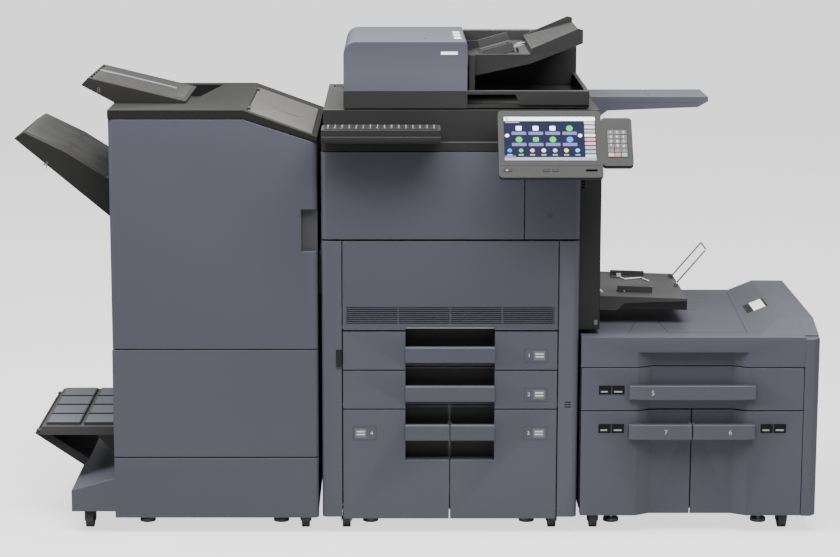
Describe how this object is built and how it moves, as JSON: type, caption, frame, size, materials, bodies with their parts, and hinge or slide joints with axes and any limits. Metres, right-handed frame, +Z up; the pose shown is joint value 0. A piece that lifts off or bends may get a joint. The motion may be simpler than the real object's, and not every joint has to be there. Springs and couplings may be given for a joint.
{
  "type": "photocopier",
  "caption": "Office photocopier with scanner and document feeder, tilting touch panel, finisher with trays on the left and a paper feeder on the right.",
  "frame": {"origin": "middle of the bounding box, at floor level", "axes": "+X to the right seen from the front, +Y towards the back, +Z up"},
  "size_m": [2.011, 0.77, 1.268],
  "materials": {
    "body_grey": "satin moulded plastic, blue-grey",
    "dark_plastic": "fine textured, near black",
    "mid_plastic": "fine textured, dark grey",
    "frame_steel": "folded sheet",
    "platen": "clear glass",
    "screen": "gloss display",
    "key_plastic": "moulded keys",
    "roller_rubber": "matt rubber",
    "wheel_rubber": "hard rubber",
    "steel_rod": "plated wire",
    "engine_plastic": "cartridge plastic",
    "guide_plastic": "pale grey moulding"
  },
  "bodies": {
    "main": {"main_frame": "frame_steel", "rear_cover": "body_grey", "power_inlet": "dark_plastic", "left_side_cover": "body_grey", "right_side_cover": "body_grey", "small_front_cover": "body_grey", "toner_and_drum_units": "engine_plastic", "transfer_belt": "engine_plastic", "scanner_housing": "dark_plastic", "platen_glass": "platen", "panel_arm": "dark_plastic", "keyboard_holder": "dark_plastic", "keyboard": "dark_plastic", "document_table": "body_grey", "tower_cover": "dark_plastic", "finisher_cabinet": "body_grey", "finisher_lower_covers": "body_grey", "finisher_top_deck": "mid_plastic", "tray_b": "dark_plastic", "booklet_tray": "dark_plastic", "feeder_cabinet": "body_grey", "feeder_top_cover": "body_grey", "feeder_end_cover": "body_grey", "caster_forks": "frame_steel", "levelling_feet": "wheel_rubber"},
    "upper_cover": {"upper_front_cover": "body_grey"},
    "middle_cover": {"middle_front_cover": "body_grey"},
    "drawer_1": {"drawer_1": "body_grey"},
    "drawer_2": {"drawer_2": "body_grey"},
    "drawer_3": {"drawer_3": "body_grey"},
    "drawer_4": {"drawer_4": "body_grey"},
    "drawer_5": {"drawer_5": "body_grey"},
    "drawer_6": {"drawer_6": "body_grey"},
    "drawer_7": {"drawer_7": "body_grey"},
    "heat_roller": {"fuser_heat_roller": "roller_rubber"},
    "pressure_roller": {"fuser_pressure_roller": "roller_rubber"},
    "fan": {"cooling_fan": "dark_plastic"},
    "carriage": {"scan_carriage": "dark_plastic"},
    "document_feeder": {"adf_base": "dark_plastic"},
    "feed_cover": {"adf_feed_cover": "body_grey"},
    "feed_roller": {"adf_feed_roller": "roller_rubber"},
    "document_tray": {"document_tray": "dark_plastic"},
    "front_document_guide": {"front_document_guide": "mid_plastic"},
    "rear_document_guide": {"rear_document_guide": "mid_plastic"},
    "panel": {"operation_panel": "mid_plastic", "display": "screen"},
    "panel_keys": {"panel_keys": "key_plastic"},
    "keypad_keys": {"keypad_keys": "key_plastic"},
    "keyboard_keys": {"keyboard_keys": "dark_plastic"},
    "bypass_tray": {"bypass_tray": "mid_plastic"},
    "front_bypass_guide": {"front_bypass_guide": "guide_plastic"},
    "rear_bypass_guide": {"rear_bypass_guide": "guide_plastic"},
    "bypass_wire": {"bypass_extension": "steel_rod"},
    "finisher_door": {"finisher_door": "body_grey"},
    "finisher_lid": {"finisher_lid": "mid_plastic"},
    "tray_a": {"tray_a": "dark_plastic"},
    "eject_roller": {"eject_roller": "roller_rubber"},
    "booklet_flap": {"booklet_flap": "dark_plastic"},
    "front_wheels": {"front_wheels": "wheel_rubber"},
    "rear_wheels": {"rear_wheels": "wheel_rubber"}
  },
  "joints": [
    {"name": "upper_cover_hinge", "type": "hinge", "parent": "main", "child": "upper_cover", "pos_m": [0.0825, -0.227, 0.7605], "axis": [1, 0, 0], "range_deg": [0, 85]},
    {"name": "middle_cover_hinge", "type": "hinge", "parent": "main", "child": "middle_cover", "pos_m": [0.0825, -0.227, 0.531], "axis": [1, 0, 0], "range_deg": [0, 85]},
    {"name": "drawer_1_slide", "type": "slide", "parent": "main", "child": "drawer_1", "axis": [0, -1, 0], "range_m": [0, 0.4]},
    {"name": "drawer_2_slide", "type": "slide", "parent": "main", "child": "drawer_2", "axis": [0, -1, 0], "range_m": [0, 0.4]},
    {"name": "drawer_3_slide", "type": "slide", "parent": "main", "child": "drawer_3", "axis": [0, -1, 0], "range_m": [0, 0.4]},
    {"name": "drawer_4_slide", "type": "slide", "parent": "main", "child": "drawer_4", "axis": [0, -1, 0], "range_m": [0, 0.4]},
    {"name": "drawer_5_slide", "type": "slide", "parent": "main", "child": "drawer_5", "axis": [0, -1, 0], "range_m": [0, 0.4]},
    {"name": "drawer_6_slide", "type": "slide", "parent": "main", "child": "drawer_6", "axis": [0, -1, 0], "range_m": [0, 0.4]},
    {"name": "drawer_7_slide", "type": "slide", "parent": "main", "child": "drawer_7", "axis": [0, -1, 0], "range_m": [0, 0.4]},
    {"name": "heat_roller_spin", "type": "hinge", "parent": "main", "child": "heat_roller", "pos_m": [0.2525, 0.065, 0.8115], "axis": [0, 1, 0], "continuous": true},
    {"name": "pressure_roller_spin", "type": "hinge", "parent": "main", "child": "pressure_roller", "pos_m": [0.2968, 0.065, 0.8115], "axis": [0, 1, 0], "continuous": true},
    {"name": "fan_spin", "type": "hinge", "parent": "main", "child": "fan", "pos_m": [-0.0675, 0.337, 0.824], "axis": [0, 1, 0], "continuous": true},
    {"name": "scan_carriage_slide", "type": "slide", "parent": "main", "child": "carriage", "axis": [1, 0, 0], "range_m": [0, 0.44]},
    {"name": "document_feeder_hinge", "type": "hinge", "parent": "main", "child": "document_feeder", "pos_m": [0.0825, 0.265, 1.084], "axis": [-1, 0, 0], "range_deg": [0, 70]},
    {"name": "feed_cover_hinge", "type": "hinge", "parent": "document_feeder", "child": "feed_cover", "pos_m": [-0.1815, -0.035, 1.1184], "axis": [0, -1, 0], "range_deg": [0, 60]},
    {"name": "feed_roller_spin", "type": "hinge", "parent": "document_feeder", "child": "feed_roller", "pos_m": [0.0885, -0.035, 1.18], "axis": [0, 1, 0], "continuous": true},
    {"name": "document_tray_hinge", "type": "hinge", "parent": "document_feeder", "child": "document_tray", "pos_m": [0.1345, -0.035, 1.196], "axis": [0, -1, 0], "range_deg": [0, 15]},
    {"name": "front_document_guide_slide", "type": "slide", "parent": "document_tray", "child": "front_document_guide", "axis": [0, 1, 0], "range_m": [0, 0.09]},
    {"name": "rear_document_guide_slide", "type": "slide", "parent": "document_tray", "child": "rear_document_guide", "axis": [0, 1, 0], "range_m": [-0.09, 0]},
    {"name": "panel_tilt", "type": "hinge", "parent": "main", "child": "panel", "pos_m": [0.1945, -0.28469, 0.9852], "axis": [-1, 0, 0], "range_deg": [0, 25]},
    {"name": "panel_keys_press", "type": "slide", "parent": "panel", "child": "panel_keys", "axis": [0, 0.766, -0.6428], "range_m": [0, 0.0015], "stiffness_N_per_m": 300},
    {"name": "keypad_keys_press", "type": "slide", "parent": "panel", "child": "keypad_keys", "axis": [0, 0.766, -0.6428], "range_m": [0, 0.0015], "stiffness_N_per_m": 400},
    {"name": "keyboard_keys_press", "type": "slide", "parent": "main", "child": "keyboard_keys", "axis": [0, 0, -1], "range_m": [0, 0.0015], "stiffness_N_per_m": 4000, "springref_m": -0.0003},
    {"name": "bypass_tray_hinge", "type": "hinge", "parent": "main", "child": "bypass_tray", "pos_m": [0.4515, 0.065, 0.578], "axis": [0, -1, 0], "range_deg": [0, 75]},
    {"name": "front_bypass_guide_slide", "type": "slide", "parent": "bypass_tray", "child": "front_bypass_guide", "axis": [0, 1, 0], "range_m": [0, 0.07]},
    {"name": "rear_bypass_guide_slide", "type": "slide", "parent": "bypass_tray", "child": "rear_bypass_guide", "axis": [0, 1, 0], "range_m": [-0.07, 0]},
    {"name": "bypass_wire_fold", "type": "hinge", "parent": "bypass_tray", "child": "bypass_wire", "pos_m": [0.6805, 0.145, 0.574], "axis": [0, -1, 0], "range_deg": [-40, 110]},
    {"name": "finisher_door_hinge", "type": "hinge", "parent": "main", "child": "finisher_door", "pos_m": [-0.7515, -0.227, 0.7], "axis": [0, 0, -1], "range_deg": [0, 100]},
    {"name": "finisher_lid_hinge", "type": "hinge", "parent": "main", "child": "finisher_lid", "pos_m": [-0.4165, -0.035, 1.06999], "axis": [0, -1, 0], "range_deg": [0, 60]},
    {"name": "tray_a_lift", "type": "slide", "parent": "main", "child": "tray_a", "axis": [0, 0, 1], "range_m": [-0.4, 0]},
    {"name": "eject_roller_spin", "type": "hinge", "parent": "main", "child": "eject_roller", "pos_m": [-0.7255, 0.065, 0.93], "axis": [0, 1, 0], "continuous": true},
    {"name": "booklet_flap_hinge", "type": "hinge", "parent": "main", "child": "booklet_flap", "pos_m": [-0.9635, 0.065, 0.236], "axis": [0, 1, 0], "range_deg": [0, 140]},
    {"name": "front_wheels_spin", "type": "hinge", "parent": "main", "child": "front_wheels", "pos_m": [0.0825, -0.183, 0.025], "axis": [1, 0, 0], "continuous": true},
    {"name": "rear_wheels_spin", "type": "hinge", "parent": "main", "child": "rear_wheels", "pos_m": [0.0825, 0.31, 0.025], "axis": [1, 0, 0], "continuous": true}
  ],
  "couplings": [
    {"joint": "pressure_roller_spin", "follows": "heat_roller_spin", "ratio": -1},
    {"joint": "rear_document_guide_slide", "follows": "front_document_guide_slide", "ratio": -1},
    {"joint": "rear_bypass_guide_slide", "follows": "front_bypass_guide_slide", "ratio": -1}
  ]
}
